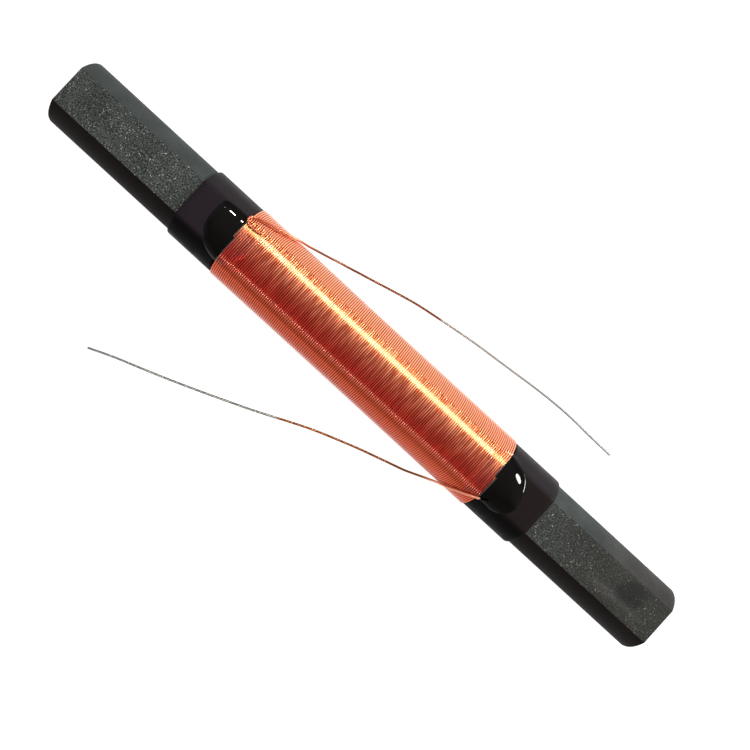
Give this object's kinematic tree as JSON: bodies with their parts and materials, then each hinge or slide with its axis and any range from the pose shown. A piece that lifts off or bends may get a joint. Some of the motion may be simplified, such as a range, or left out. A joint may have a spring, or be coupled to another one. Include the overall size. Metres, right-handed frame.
{
  "type": "ferrite rod antenna",
  "caption": "Loop antenna for long-wave radio: a flat-sided ferrite rod in a black shrunk-on sleeve, close-wound with fine enamelled copper wire, with adhesive drops and free tinned leads.",
  "frame": {"origin": "on the rod's middle, at the height of the winding's lowest ridges", "axes": "+X runs along the rod towards the larger drop of adhesive, +Z is square to the rod's flats and points from the flat without adhesive to the flat with it, and +Y completes a right-handed frame"},
  "size_m": [0.1, 0.0373, 0.0098],
  "materials": {
    "ferrite": "ground ceramic with a fine grain, matte",
    "sleeve": "satin",
    "enamelled_wire": "glossy enamel over copper",
    "lead_wire": "glossy enamel over copper, tinned towards the tip",
    "adhesive": "clear gloss, set hard"
  },
  "bodies": {
    "root": {"ferrite_rod": "ferrite", "insulating_sleeve": "sleeve", "winding": "enamelled_wire", "start_lead": "lead_wire", "end_lead": "lead_wire", "start_glue": "adhesive", "end_glue": "adhesive"}
  },
  "joints": []
}
